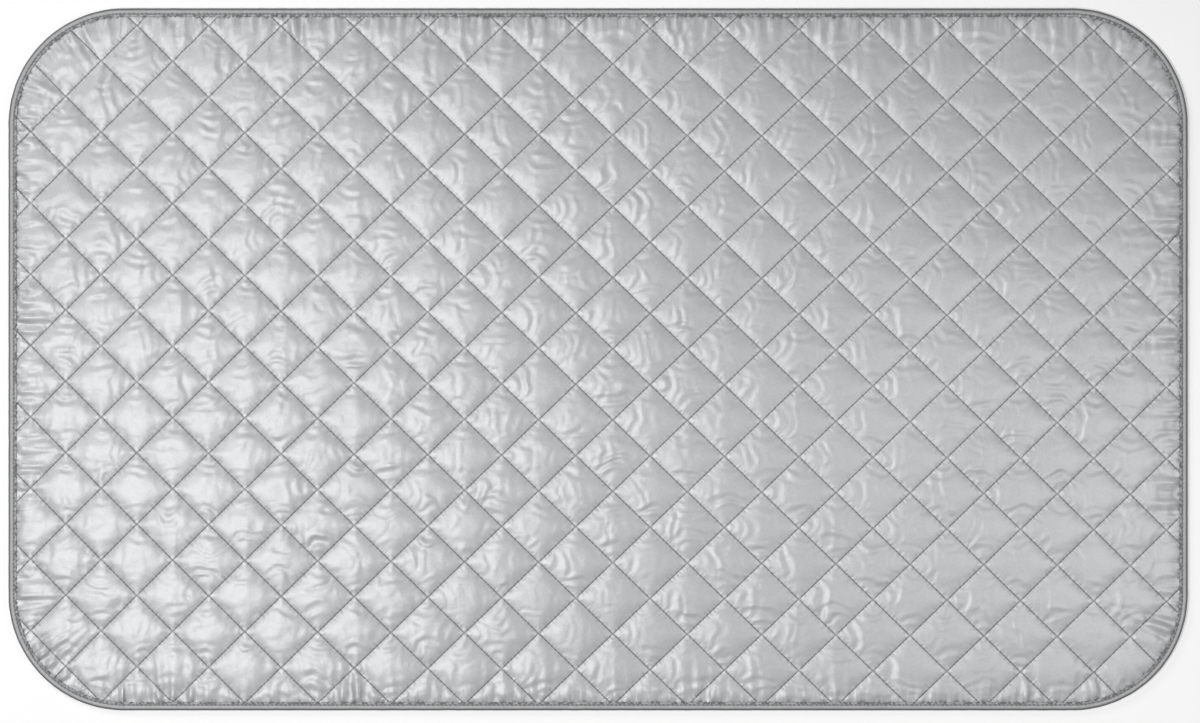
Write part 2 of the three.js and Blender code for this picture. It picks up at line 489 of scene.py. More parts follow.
@dataclass(frozen=True)
class BackingCotton:
    """Unbleached plain-weave cotton with slubs."""

    cream: Colour = (0.66, 0.635, 0.585)
    thread_pitch: float = 0.75 * MM
    slubs_a_metre: tuple[float, float, float] = (40.0, 900.0, 40.0)

    def material(self) -> bpy.types.Material:
        """Builds the finish.

        A plain weave's height is the product of two waves, one along each thread direction, and
        slubs are noise drawn out along X.

        Returns:
            The material.
        """
        graph = ShaderGraph.of_material("backing_cotton")
        across, along, _ = graph.parts(graph.place())
        turn = math.pi / self.thread_pitch
        weave = (across * turn).sine() * (along * turn).sine()
        drawn_out = {"Vector": graph.place(), "Scale": self.slubs_a_metre}
        slubs = graph.noise(1.0, 2.0, spot=graph.node("ShaderNodeMapping", inputs=drawn_out))
        clouds = graph.noise(14.0, 3.0)
        tone = 0.78 + 0.14 * clouds + 0.10 * slubs + 0.06 * weave
        colour = graph.blend(tone, shaded(self.cream, 0.0), rgba(self.cream))
        height = 0.5 + 0.35 * weave + 0.3 * (slubs - 0.5)
        normal = graph.bump(height, 0.22 * MM)
        return graph.finish(graph.principled(Base_Color=colour, Roughness=0.9, Normal=normal))


@dataclass(frozen=True)
class PaleFloor:
    """A white table top that stays white in the picture and keeps the pad's shadow."""

    white: Colour = (0.90, 0.90, 0.90)
    glow: float = 0.42

    def material(self) -> bpy.types.Material:
        """Builds the finish: white, with a little light of its own where a camera or mirror looks.

        Returns:
            The material.
        """
        graph = ShaderGraph.of_material("pale_floor")
        grain = graph.noise(25.0, 2.0)
        colour = graph.blend(0.97 + 0.03 * grain, shaded(self.white, 0.0), rgba(self.white))
        glow = graph.blend(graph.looked_at(), rgba((0.0, 0.0, 0.0)), rgba((self.glow,) * 3))
        return graph.finish(
            graph.principled(Base_Color=colour, Roughness=0.8, Emission_Color=glow, Emission_Strength=1.0)
        )


@dataclass(frozen=True)
class PadOutline:
    """The pad's rounded oblong, in metres, with the origin at its middle."""

    length: float = 813 * MM
    width: float = 484 * MM
    corner: float = 80 * MM

    @property
    def straight(self) -> tuple[float, float]:
        """The straight parts of a long side and of a short side."""
        return self.length - 2 * self.corner, self.width - 2 * self.corner

    @property
    def perimeter(self) -> float:
        """The whole way round the edge."""
        return 2 * sum(self.straight) + 2 * math.pi * self.corner

    def depth(self, x: Array, y: Array) -> Array:
        """How far points lie inside the edge: the corner radius less the distance from the core oblong.

        Args:
            x: the points' x.
            y: the points' y.

        Returns:
            The distance inwards from the edge, negative outside.
        """
        long_side, short_side = self.straight
        beyond_x = np.abs(x) - long_side / 2
        beyond_y = np.abs(y) - short_side / 2
        outside = np.hypot(np.maximum(beyond_x, 0), np.maximum(beyond_y, 0))
        return self.corner - outside - np.minimum(np.maximum(beyond_x, beyond_y), 0)

    def core(self, x: Array, y: Array) -> tuple[Array, Array, Array]:
        """The nearest points of the core oblong, and the angle outwards from them.

        Args:
            x: the points' x.
            y: the points' y.

        Returns:
            The core points' x and y, and the angle, from minus a quarter turn to three quarters.
        """
        long_side, short_side = self.straight
        core_x = np.clip(x, -long_side / 2, long_side / 2)
        core_y = np.clip(y, -short_side / 2, short_side / 2)
        angle = np.arctan2(y - core_y, x - core_x)
        return core_x, core_y, np.mod(angle + math.pi / 2, 2 * math.pi) - math.pi / 2

    def run(self, x: Array, y: Array) -> Array:
        """How far round the edge points lie, from the start of the near long side.

        The corners add the radius times the angle, and the core point adds its way round the core.

        Args:
            x: the points' x.
            y: the points' y.

        Returns:
            The run in metres.
        """
        long_side, short_side = self.straight
        core_x, core_y, angle = self.core(x, y)
        quarter = math.pi / 2
        ways = [
            core_x + long_side / 2,
            long_side + core_y + short_side / 2,
            1.5 * long_side + short_side - core_x,
            2 * long_side + 1.5 * short_side - core_y,
        ]
        sides = [angle < 0, angle < quarter, angle < 2 * quarter]
        return self.corner * (angle + quarter) + np.select(sides, ways[:3], ways[3])

    def moved_to(self, x: Array, y: Array, inset: float) -> tuple[Array, Array]:
        """Points near the edge moved straight out or in to a distance inside it.

        Args:
            x: the points' x.
            y: the points' y.
            inset: the distance inside the edge.

        Returns:
            The new x and y.
        """
        core_x, core_y, angle = self.core(x, y)
        radius = self.corner - inset
        return core_x + radius * np.cos(angle), core_y + radius * np.sin(angle)

    def stations(self, count: int) -> tuple[Array, Array, Array]:
        """Evenly spaced stations round the edge.

        The angle stays and the core point moves on a straight side, and the other way on a corner,
        so both are read off lines between the eight ends of the sides.

        Args:
            count: the number of stations.

        Returns:
            The run, the core points (count, 2) and the directions outwards (count, 2).
        """
        long_side, short_side = self.straight
        quarter = math.pi / 2
        arc = self.corner * quarter
        ends = np.cumsum([0, long_side, arc, short_side, arc, long_side, arc, short_side, arc])
        angles = quarter * np.array([-1, -1, 0, 0, 1, 1, 2, 2, 3])
        core_x = long_side / 2 * np.array([-1, 1, 1, 1, 1, -1, -1, -1, -1])
        core_y = short_side / 2 * np.array([-1, -1, -1, 1, 1, 1, 1, -1, -1])
        run = np.arange(count) / count * self.perimeter
        angle = np.interp(run, ends, angles)
        core = np.stack([np.interp(run, ends, core_x), np.interp(run, ends, core_y)], 1)
        return run, core, np.stack([np.cos(angle), np.sin(angle)], 1)


@dataclass(frozen=True)
class LatticeGrid:
    """A grid of points on the quilting lattice, cut to the pad's outline."""

    column: Array
    row: Array
    x: Array
    y: Array
    depth: Array
    quads: Array
    triangles: Array
    rim: Array


@dataclass(frozen=True)
class QuiltLattice:
    """The quilting's lattice, counted in half diamonds; seams cross where column plus row is even."""

    half_length: float = 25.625 * MM
    half_width: float = 24.55 * MM
    offset_x: float = 10.15 * MM
    offset_y: float = 7.3 * MM
    skew: float = math.tan(math.radians(0.33))
    gather: float = 5.65 * MM
    gather_line: float = 70 * MM
    half_pad: float = 406.5 * MM
    first_column: int = -16
    last_column: int = 15
    reach: tuple[int, int] = (18, 12)
    rim_margin: float = 0.3 * MM
    shortest_edge: float = 0.35 * MM

    def place(self, column: Array, row: Array) -> tuple[Array, Array]:
        """Where points of the lattice lie.

        Columns are evenly spaced, then drawn in by a share that grows as the cube of the distance
        from the line that stays; rows are evenly spaced and slope a little along the pad.

        Args:
            column: columns, which need not be whole.
            row: rows, likewise.

        Returns:
            The points' x and y.
        """
        along = column * self.half_length
        even = self.offset_x + along
        drawn = self.gather * ((even - self.gather_line) / self.half_pad) ** 3
        return even - drawn, self.offset_y + row * self.half_width - along * self.skew

    def off_seam(self, column: Array, row: Array) -> tuple[Array, Array]:
        """How far points lie from the falling and the rising seams.

        It is twice the distance of the count of diamonds from the nearest whole number.

        Args:
            column: the points' columns.
            row: their rows.

        Returns:
            The two distances, from 0 at a seam to 1 at mid diamond.
        """
        fall = (column + row) / 2
        rise = (column - row) / 2
        return 2 * np.abs(fall - np.round(fall)), 2 * np.abs(rise - np.round(rise))

    def grid(self, outline: PadOutline, cells: int, inset: float) -> LatticeGrid:
        """A grid with a number of cells to half a diamond, with its rim laid on the outline.

        A cell is kept where all its corners lie inside; its outer corners then move out to the
        inset line, and rim points that land on each other become one. Cells that a seam crosses
        are cut in two along it.

        Args:
            outline: the pad's outline.
            cells: cells to half a diamond.
            inset: how far inside the edge the rim lies.

        Returns:
            The grid, with its quads and triangles facing up and its rim in order.
        """
        far_column, far_row = (cells * reach for reach in self.reach)
        column, row = np.meshgrid(np.arange(-far_column, far_column + 1), np.arange(-far_row, far_row + 1))
        x, y = self.place(column / cells, row / cells)
        inside = outline.depth(x, y) > inset + self.rim_margin
        index = np.arange(x.size).reshape(x.shape)
        lower, upper = index[:-1], index[1:]
        quads = np.stack([lower[:, :-1], lower[:, 1:], upper[:, 1:], upper[:, :-1]], -1).reshape(-1, 4)
        quads = quads[inside.ravel()[quads].all(1)]
        edges = np.stack([quads, np.roll(quads, -1, 1)], -1).reshape(-1, 2)
        key = np.sort(edges, 1) @ np.array([x.size, 1])
        _, first, count = np.unique(key, return_index=True, return_counts=True)
        border = edges[first[count == 1]]
        flat_x, flat_y = x.ravel().copy(), y.ravel().copy()
        rim = border[:, 0]
        flat_x[rim], flat_y[rim] = outline.moved_to(flat_x[rim], flat_y[rim], inset)
        gaps = [place[border[:, 0]] - place[border[:, 1]] for place in (flat_x, flat_y)]
        short = np.hypot(*gaps) < self.shortest_edge
        same = np.arange(x.size)
        same[border[short].max(1)] = border[short].min(1)
        quads = same[quads]
        uneven = (quads == np.roll(quads, -1, 1)).any(1)
        thin = quads[uneven]
        triangles = thin[thin != np.roll(thin, -1, 1)].reshape(-1, 3)
        quads = quads[~uneven]
        column_plus, column_less = (column + row).ravel(), (column - row).ravel()
        on_fall = column_plus[quads[:, 1]] % (2 * cells) == 0
        on_rise = column_less[quads[:, 0]] % (2 * cells) == 0
        cut = [quads[on_fall][:, turn] for turn in ([1, 2, 3], [3, 0, 1])]
        cut += [quads[on_rise][:, turn] for turn in ([0, 1, 2], [2, 3, 0])]
        triangles = np.concatenate([triangles, *cut])
        quads = quads[~(on_fall | on_rise)]
        used, packed = np.unique(np.concatenate([quads.ravel(), triangles.ravel()]), return_inverse=True)
        number = np.full(x.size, -1)
        number[used] = np.arange(len(used))
        rim = np.unique(same[border[:, 0]])
        rim = rim[np.argsort(outline.run(flat_x[rim], flat_y[rim]))]
        return LatticeGrid(
            column=column.ravel()[used] / cells,
            row=row.ravel()[used] / cells,
            x=flat_x[used],
            y=flat_y[used],
            depth=outline.depth(flat_x[used], flat_y[used]),
            quads=packed[: quads.size].reshape(-1, 4),
            triangles=packed[quads.size :].reshape(-1, 3),
            rim=number[rim],
        )


def smooth_step(value: Array, low: float, high: float) -> Array:
    """The smooth step from 0 at low to 1 at high: 3 t squared less 2 t cubed."""
    share = np.clip((value - low) / (high - low), 0, 1)
    return share * share * (3 - 2 * share)


def ripple(run: Array, period: float, shortest: float, longest: float, seed: int, waves: int = 24) -> Array:
    """Uneven waves along a closed run: a sum of cosines with whole numbers of turns and random phases.

    Args:
        run: places along the run, in metres.
        period: the length of the whole run.
        shortest: the shortest wave.
        longest: the longest wave.
        seed: the seed of the random choices.
        waves: how many waves are added.

    Returns:
        The waves' sum, with a spread of about one.
    """
    random = np.random.default_rng(seed)
    turns = np.round(random.uniform(period / longest, period / shortest, waves))
    phases = random.uniform(0, 2 * math.pi, waves)
    return np.cos(2 * math.pi / period * run[..., None] * turns + phases).sum(-1) * math.sqrt(2 / waves)


def clouds(x: Array, y: Array, wave: float, seed: int, count: int = 28) -> Array:
    """Cloudy waves over the plane: a sum of cosines along random directions with random phases.

    Args:
        x: the points' x.
        y: the points' y.
        wave: the waves' usual length, in the same unit.
        seed: the seed of the random choices.
        count: how many waves are added.

    Returns:
        The waves' sum, with a spread of about one.
    """
    random = np.random.default_rng(seed)
    total = np.zeros(len(x))
    for turn, length, phase in random.uniform((0, 0.75, 0), (2 * math.pi, 1.4, 2 * math.pi), (count, 3)):
        total += np.cos(2 * math.pi / (wave * length) * (x * math.cos(turn) + y * math.sin(turn)) + phase)
    return total * math.sqrt(2 / count)


def new_mesh(name: str, points: Array, faces: list[Array]) -> bpy.types.Mesh:
    """A mesh from whole arrays.

    Args:
        name: the mesh's name.
        points: the vertices, (n, 3).
        faces: arrays of vertex numbers, one row for each face.

    Returns:
        The mesh, smooth shaded.
    """
    faces = [block for block in faces if len(block)]
    corners = np.concatenate([block.ravel() for block in faces]).astype(np.int32)
    sizes = np.concatenate([np.full(len(block), block.shape[1]) for block in faces]).astype(np.int32)
    mesh = bpy.data.meshes.new(name)
    mesh.vertices.add(len(points))
    mesh.vertices.foreach_set("co", np.ascontiguousarray(points, np.float32).ravel())
    mesh.loops.add(len(corners))
    mesh.loops.foreach_set("vertex_index", corners)
    mesh.polygons.add(len(sizes))
    mesh.polygons.foreach_set("loop_start", (np.cumsum(sizes) - sizes).astype(np.int32))
    mesh.polygons.foreach_set("loop_total", sizes)
    mesh.update(calc_edges=True)
    mesh.validate()
    mesh.shade_smooth()
    return mesh


def add_numbers(mesh: bpy.types.Mesh, name: str, numbers: Array) -> None:
    """Gives a mesh an attribute of three numbers for each vertex."""
    layer = mesh.attributes.new(name, "FLOAT_VECTOR", "POINT")
    layer.data.foreach_set("vector", np.ascontiguousarray(numbers, np.float32).ravel())


def add_map(mesh: bpy.types.Mesh, corner_places: Array) -> None:
    """Gives a mesh the map that its finish is kept on, from a place in the unit square for each corner."""
    layer = mesh.uv_layers.new(name=BAKE_MAP, do_init=False)
    layer.uv.foreach_set("vector", np.ascontiguousarray(corner_places, np.float32).ravel())


def corner_vertices(mesh: bpy.types.Mesh) -> Array:
    """Reads which vertex each face corner stands on.

    Args:
        mesh: the mesh.

    Returns:
        The vertex number of each face corner.
    """
    found = np.empty(len(mesh.loops), np.int32)
    mesh.loops.foreach_get("vertex_index", found)
    return found


def flat_map(mesh: bpy.types.Mesh, points: Array) -> None:
    """Maps a mesh as seen from above, fitted to the unit square."""
    low, high = points[:, :2].min(0), points[:, :2].max(0)
    add_map(mesh, (0.01 + 0.98 * (points[:, :2] - low) / (high - low))[corner_vertices(mesh)])


def add_piece(
    mesh: bpy.types.Mesh, material: bpy.types.Material, nodes: tuple[str, ...] = ()
) -> bpy.types.Object:
    """Puts a mesh in the scene as a piece on the pad's one body.

    Args:
        mesh: the piece's mesh, whose name it takes.
        material: its finish.
        nodes: the CAD nodes that it stands for.

    Returns:
        The piece.
    """
    mesh.materials.append(material)
    piece = bpy.data.objects.new(mesh.name, mesh)
    bpy.context.scene.collection.objects.link(piece)
    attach(piece, "root")
    if nodes:
        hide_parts(*nodes)
    LOG.info("%s: %d vertices, %d faces", mesh.name, len(mesh.vertices), len(mesh.polygons))
    return piece


def tube(path: Array, radius: float, sides: int) -> tuple[Array, Array, Array]:
    """A round section carried along an open path that lies nearly flat.

    Each ring's centre is a path point; its side axis is level and square to the path, its other
    axis is square to both, and a ring point is the centre plus the radius times the cosine of the
    turn along one axis and its sine along the other.

    Args:
        path: the centre line with how far each point is in a needle hole, (n, 4).
        radius: the section's radius.
        sides: the number of points round it.

    Returns:
        The points (n * sides, 3), the side faces and, for each point, its run in millimetres, its
        share of the turn and how far it is in a hole.
    """
    path, sunk = path[:, :3], path[:, 3:]
    ahead = np.gradient(path, axis=0)
    ahead /= np.linalg.norm(ahead, axis=1, keepdims=True)
    level = np.stack([-ahead[:, 1], ahead[:, 0], np.zeros(len(path))], 1)
    level /= np.linalg.norm(level, axis=1, keepdims=True)
    upright = np.cross(ahead, level)
    turn = 2 * math.pi * np.arange(sides) / sides
    ring = np.cos(turn)[:, None] * level[:, None, :] + np.sin(turn)[:, None] * upright[:, None, :]
    points = (path[:, None, :] + radius * ring).reshape(-1, 3)
    index = np.arange(len(points)).reshape(len(path), sides)
    after = np.roll(index, -1, 1)
    quads = np.stack([index[:-1], after[:-1], after[1:], index[1:]], -1).reshape(-1, 4)
    step = np.linalg.norm(np.diff(path, axis=0), axis=1)
    run = np.concatenate([[0], np.cumsum(step)]) / MM
    lay = np.stack(np.broadcast_arrays(run[:, None], np.arange(sides) / sides, sunk), -1).reshape(-1, 3)
    return points, quads, lay


def tube_mesh(
    name: str, paths: list[Array], radius: float, sides: int, closed: bool = False
) -> bpy.types.Mesh:
    """One mesh of tubes along several paths, with flat ends or each joined to its own start.

    Args:
        name: the mesh's name.
        paths: the centre lines.
        radius: the tubes' radius.
        sides: the points round them.
        closed: whether each path runs back to its start.

    Returns:
        The mesh, with its lay attribute and a map as seen from above.
    """
    points, quads, ends, lays, count = [], [], [], [], 0
    for path in paths:
        ring, faces, lay = tube(path, radius, sides)
        index = np.arange(len(ring)).reshape(-1, sides) + count
        if closed:
            after = np.roll(index, -1, 1)
            joint = np.stack([index[-1], after[-1], after[0], index[0]], -1)
            faces = np.concatenate([faces, joint - count])
        else:
            ends += [index[:1, ::-1], index[-1:]]
        points.append(ring)
        quads.append(faces + count)
        lays.append(lay)
        count += len(ring)
    placed = np.concatenate(points)
    mesh = new_mesh(name, placed, [np.concatenate(quads), *ends])
    add_numbers(mesh, "lay", np.concatenate(lays))
    flat_map(mesh, placed)
    return mesh


@dataclass(frozen=True)
class ClothSettings:
    """How the face cloth settles over the wadding, with names for what the simulation is told."""

    units_a_metre: float = 100.0
    pressure: float = 0.1
    slack: float = -0.001
    slack_at_edge: float = -0.004
    edge_starts: float = 22 * MM
    edge_full: float = 8 * MM
    stretch: float = 40.0
    bending: float = 2.0
    frames: int = 14
    steps_a_frame: int = 5
    mass: float = 0.3
    damping: float = 5.0
    bending_damping: float = 0.5
    air: float = 1.0

    def numbers(self) -> dict[str, object]:
        """The simulation's settings, in the order in which they are set.

        Returns:
            Each setting's name and value.
        """
        return {
            "quality": self.steps_a_frame,
            "mass": self.mass,
            "tension_stiffness": self.stretch,
            "compression_stiffness": self.stretch,
            "shear_stiffness": self.stretch / 2,
            "bending_stiffness": self.bending,
            "tension_damping": self.damping,
            "compression_damping": self.damping,
            "shear_damping": self.damping,
            "bending_damping": self.bending_damping,
            "air_damping": self.air,
            "vertex_group_mass": "held",
            "pin_stiffness": 1.0,
            "use_pressure": True,
            "uniform_pressure_force": self.pressure,
            "vertex_group_shrink": "slack",
            "shrink_min": self.slack,
            "shrink_max": self.slack_at_edge,
        }


class Corner(Enum):
    """A diamond's corners, as directions from its middle in degrees."""

    RIGHT = 0.0
    TOP = 90.0
    LEFT = 180.0
    BOTTOM = -90.0


@dataclass(frozen=True)
class CornerFolds:
    """A train of folds in arcs round one corner of each diamond, in millimetres.

    The train's middle lies between near and far from the corner. Its steepest slope is drawn for
    each diamond between the least share of a value and the whole of it.
    """

    corner: Corner
    near: float
    far: float
    wave: float
    steepest: float
    least: float


@dataclass
class FaceCloth:
    """The metallised face cloth, lofted between its seams and drawn flat under the binding."""

    outline: PadOutline
    lattice: QuiltLattice
    finish: MetallisedCloth = field(default_factory=MetallisedCloth)
    cloth: ClothSettings = field(default_factory=ClothSettings)
    cells: int = 16
    inset: float = 0.9 * MM
    held: float = 6.0 * MM
    underside: float = 2.7 * MM
    seam: float = 3.1 * MM
    hem: float = 3.04 * MM
    half_diamond: float = 17.65
    edge_rise: float = 0.70
    edge_roll: float = 3.5
    crown_rise: float = 1.30
    pressed_in: float = 0.7
    knee: float = 2.4 * MM
    room: float = 0.8 * MM
    lowest: float = -0.25 * MM
    fill: float = 0.55
    seed: int = 11
    folds: tuple[CornerFolds, ...] = (
        CornerFolds(Corner.TOP, 7.5, 12.0, 7.5, 0.26, 0.4),
        CornerFolds(Corner.TOP, 12.0, 22.0, 6.5, 0.24, 0.1),
        CornerFolds(Corner.TOP, 5.0, 8.0, 4.5, 0.26, 0.1),
        CornerFolds(Corner.RIGHT, 6.0, 12.0, 5.0, 0.26, 0.2),
        CornerFolds(Corner.RIGHT, 12.0, 25.0, 8.0, 0.22, 0.1),
        CornerFolds(Corner.LEFT, 6.0, 12.0, 5.0, 0.24, 0.1),
        CornerFolds(Corner.LEFT, 11.0, 24.0, 8.0, 0.25, 0.1),
        CornerFolds(Corner.LEFT, 17.0, 24.0, 5.0, 0.28, 0.1),
        CornerFolds(Corner.BOTTOM, 8.0, 14.0, 5.0, 0.26, 0.2),
        CornerFolds(Corner.BOTTOM, 10.0, 20.0, 8.0, 0.23, 0.1),
    )

    def seam_distances(self, grid: LatticeGrid) -> tuple[Array, Array]:
        """How far points lie from the nearest falling and rising seams, in millimetres."""
        off_fall, off_rise = self.lattice.off_seam(grid.column, grid.row)
        return off_fall * self.half_diamond, off_rise * self.half_diamond

    def loft(self, grid: LatticeGrid) -> Array:
        """The height that the wadding gives the cloth, in millimetres.

        The distances from the two seams and from the binding are joined into one by the third root
        of the sum of their inverse cubes. The height is a steep rise that levels off exponentially
        over that distance, plus a slow rise that is level at mid diamond.

        Args:
            grid: the cloth's grid.

        Returns:
            The height above the seams.
        """
        from_fall, from_rise = self.seam_distances(grid)
        from_edge = (grid.depth - self.held) / MM
        ways = [np.maximum(way, 1e-3) for way in (from_fall, from_rise, from_edge)]
        joined = np.minimum(sum(way**-3.0 for way in ways) ** (-1 / 3), self.half_diamond)
        steep = self.edge_rise * (1 - np.exp(-joined / self.edge_roll))
        return steep + self.crown_rise * (1 - (1 - joined / self.half_diamond) ** 2)

    def strength(self, grid: LatticeGrid, corner: Corner) -> Array:
        """How strong the folds round one corner are over the pad: a blend of smooth steps along X and Y.

        Args:
            grid: the cloth's grid.
            corner: the diamonds' corner.

        Returns:
            The strength at each point, about one.
        """
        left = smooth_step(-grid.x, -60 * MM, 260 * MM)
        high = smooth_step(grid.y, -120 * MM, 160 * MM)
        middle = np.exp(-(((grid.x / MM - 40) / 200) ** 2))
        shares = {
            Corner.TOP: 0.90 + 0.35 * left,
            Corner.RIGHT: 0.50 + 0.45 * left * high,
            Corner.LEFT: 1.10 - 0.75 * left + 0.15 * middle,
            Corner.BOTTOM: 1.40 - 0.40 * high - 0.20 * left,
        }
        return shares[corner]

    def creases(self, grid: LatticeGrid) -> Array:
        """The folds of the cloth between its seams, in millimetres.

        Round each corner of a diamond lie short trains of cosine waves of the distance from that
        corner, under a bell curve across the train and another round it. Depth, place, length and
        lean are drawn for each diamond, slow clouds bend the trains, and fainter clouds lie over
        the whole cloth. All fade out at the seams.

        Args:
            grid: the cloth's grid.

        Returns:
            The height of the folds.
        """
        random = np.random.default_rng(self.seed)
        fall = np.floor((grid.column + grid.row) / 2).astype(int)
        rise = np.floor((grid.column - grid.row) / 2).astype(int)
        cell = (fall - fall.min()) * (np.ptp(rise) + 1) + rise - rise.min()
        count = cell.max() + 1
        reach_x, reach_y = self.lattice.half_length / MM, self.lattice.half_width / MM
        x, y = grid.x / MM, grid.y / MM
        bent = [
            1.3 * clouds(x, y, 30, self.seed + k) + 0.6 * clouds(x, y, 13, self.seed + k + 2)
            for k in (1, 2)
        ]
        aside = (grid.column - fall - rise - 1) * reach_x + bent[0]
        above = (grid.row - fall + rise) * reach_y + bent[1]
        height = np.zeros(len(x))
        for train in self.folds:
            way = math.radians(train.corner.value)
            corner_x, corner_y = reach_x * math.cos(way), reach_y * math.sin(way)
            steepness = train.steepest * (train.least + (1 - train.least) * random.random(count) ** 1.4)
            middle = random.uniform(train.near, train.far, count)
            wave = train.wave * random.uniform(0.8, 1.25, count)
            spread = wave * random.uniform(0.5, 1.0, count)
            phase = math.pi + random.uniform(-1.2, 1.2, count)
            lean = random.uniform(-5, 5, count)
            extent = random.uniform(0.4, 0.8, count)
            turned = random.uniform(-0.25, 0.25, count)
            bearing = np.arctan2(corner_y - above, corner_x - aside) - way
            off = np.mod(bearing + math.pi, 2 * math.pi) - math.pi - turned[cell]
            over = np.hypot(aside - corner_x, above - corner_y) - middle[cell] - lean[cell] * off
            turns = 2 * math.pi * over / wave[cell] + phase[cell]
            bell = np.exp(-np.abs(over / spread[cell]) ** 2.5 - np.abs(off / extent[cell]) ** 4)
            size = (steepness * wave)[cell] / (2 * math.pi) * self.strength(grid, train.corner)
            height += size * np.cos(turns + 0.40 * np.sin(turns)) * bell
        uneven = 0.5 + 0.6 * smooth_step(-x, -60, 260)
        fine = 0.012 * clouds(x, y, 6, self.seed + 8, 40)
        height += uneven * (fine + 0.06 * clouds(x, y, 13, self.seed + 9, 40))
        return height * smooth_step(np.minimum(*self.seam_distances(grid)), 0.3, 3.0)

    def puckers(self, grid: LatticeGrid) -> Array:
        """The gathers along the binding, in millimetres.

        They are uneven waves along the edge, short, long and deep ones, that die away inwards and
        are strongest round the corners.

        Args:
            grid: the cloth's grid.

        Returns:
            The height of the gathers.
        """
        run, way = self.outline.run(grid.x, grid.y), self.outline.perimeter
        inside = np.maximum(grid.depth - self.held, 0) / MM
        beyond = [np.abs(place) - side / 2 for place, side in zip((grid.x, grid.y), self.outline.straight)]
        round_corner = smooth_step(np.minimum(*beyond), -35 * MM, 10 * MM)
        patchy = 0.75 + 0.35 * ripple(run, way, 40 * MM, 150 * MM, self.seed + 22)
        short = 0.32 * np.exp(-inside / 6) * ripple(run, way, 4.2 * MM, 7.5 * MM, self.seed + 20, 48)
        long = 0.44 * np.exp(-inside / 13) * ripple(run, way, 8 * MM, 15 * MM, self.seed + 21, 40)
        deep = 0.44 * np.exp(-inside / 18) * ripple(run, way, 12 * MM, 26 * MM, self.seed + 23, 40)
        waves = short + long + (0.35 + 0.75 * round_corner) * deep
        return patchy * waves * smooth_step(inside, 0.0, 3.0)

    def start(self, grid: LatticeGrid) -> tuple[Array, Array, Array]:
        """The cloth as it is laid on, in metres, and which points are sewn down.

        Args:
            grid: the cloth's grid.

        Returns:
            The loft above the seams, the folds on it, and which points the stitches and the binding hold.
        """
        held = (np.minimum(*self.seam_distances(grid)) < 1e-4) | (grid.depth < self.held)
        folds = np.where(held, 0.0, (self.creases(grid) + self.puckers(grid)) * MM)
        return np.where(held, 0.0, self.loft(grid) * MM), folds, held

    def settled(self, grid: LatticeGrid, height: Array, held: Array) -> Array:
        """Runs the cloth simulation: the cloth, a little too long, held along its seams and pressed up.

        Args:
            grid: the cloth's grid.
            height: where it starts.
            held: the points that do not move.

        Returns:
            The points afterwards, in metres, with the seams at height 0.
        """
        scale = self.cloth.units_a_metre
        points = np.stack([grid.x, grid.y, height], 1)
        mesh = new_mesh("settling_cloth", points * scale, [grid.quads, grid.triangles])
        sheet = bpy.data.objects.new("settling_cloth", mesh)
        scene = bpy.context.scene
        scene.collection.objects.link(sheet)
        sheet.vertex_groups.new(name="held").add(np.flatnonzero(held).tolist(), 1.0, "REPLACE")
        slack = sheet.vertex_groups.new(name="slack")
        near = smooth_step(-grid.depth, -self.cloth.edge_starts, -self.cloth.edge_full)
        for level in np.linspace(0.1, 1.0, 10):
            band = np.flatnonzero(np.abs(near - level) < 0.0501)
            slack.add(band.tolist(), float(level), "REPLACE")
        modifier = sheet.modifiers.new("Cloth", "CLOTH")
        settings = modifier.settings
        for name, number in self.cloth.numbers().items():
            setattr(settings, name, number)
        settings.effector_weights.gravity = 0
        modifier.collision_settings.use_collision = False
        modifier.point_cache.frame_start = 1
        modifier.point_cache.frame_end = self.cloth.frames
        for step in range(1, self.cloth.frames + 1):
            scene.frame_set(step)
        done = sheet.evaluated_get(bpy.context.evaluated_depsgraph_get())
        moved = np.empty(points.size, np.float32)
        done.data.vertices.foreach_get("co", moved)
        bpy.data.objects.remove(sheet)
        bpy.data.meshes.remove(mesh)
        scene.frame_set(1)
        return moved.reshape(-1, 3).astype(float) / scale

    def shape(self, grid: LatticeGrid) -> Array:
        """The simulation eases the folds, so a share of them is pressed in once more after it. Above
        a knee the height bends over as a hyperbolic tangent, so that no fold stands up too far.

        Args:
            grid: the cloth's grid.

        Returns:
            The points, in metres.
        """
        loft, folds, held = self.start(grid)
        points = self.settled(grid, loft + folds, held)
        points[:, 2] += self.pressed_in * folds
        over = np.maximum(points[:, 2] - self.knee, 0)
        points[:, 2] = np.minimum(points[:, 2], self.knee) + self.room * np.tanh(over / self.room)
        base = np.where(grid.depth < self.held, self.hem, self.seam)
        points[:, 2] = base + np.maximum(points[:, 2], self.lowest)
        return points

    def crease_seams(self, mesh: bpy.types.Mesh, grid: LatticeGrid) -> None:
        """Marks the mesh's edges along the seams as sharp, so that the cloth turns over at the stitches.

        An edge lies on a seam where both its ends have the same whole count of diamonds.

        Args:
            mesh: the cloth's mesh.
            grid: the grid of its upper surface.
        """
        ends = np.empty(2 * len(mesh.edges), np.int32)
        mesh.edges.foreach_get("vertices", ends)
        ends = ends.reshape(-1, 2)
        inside = (ends < len(grid.x)).all(1)
        sharp = np.zeros(len(ends), bool)
        for line in ((grid.column + grid.row) / 2, (grid.column - grid.row) / 2):
            one, two = line[ends[inside]].T
            sharp[inside] |= (np.abs(one - two) < 1e-6) & (np.abs(one - np.round(one)) < 1e-6)
        mesh.attributes.new("sharp_edge", "BOOLEAN", "EDGE").data.foreach_set("value", sharp)

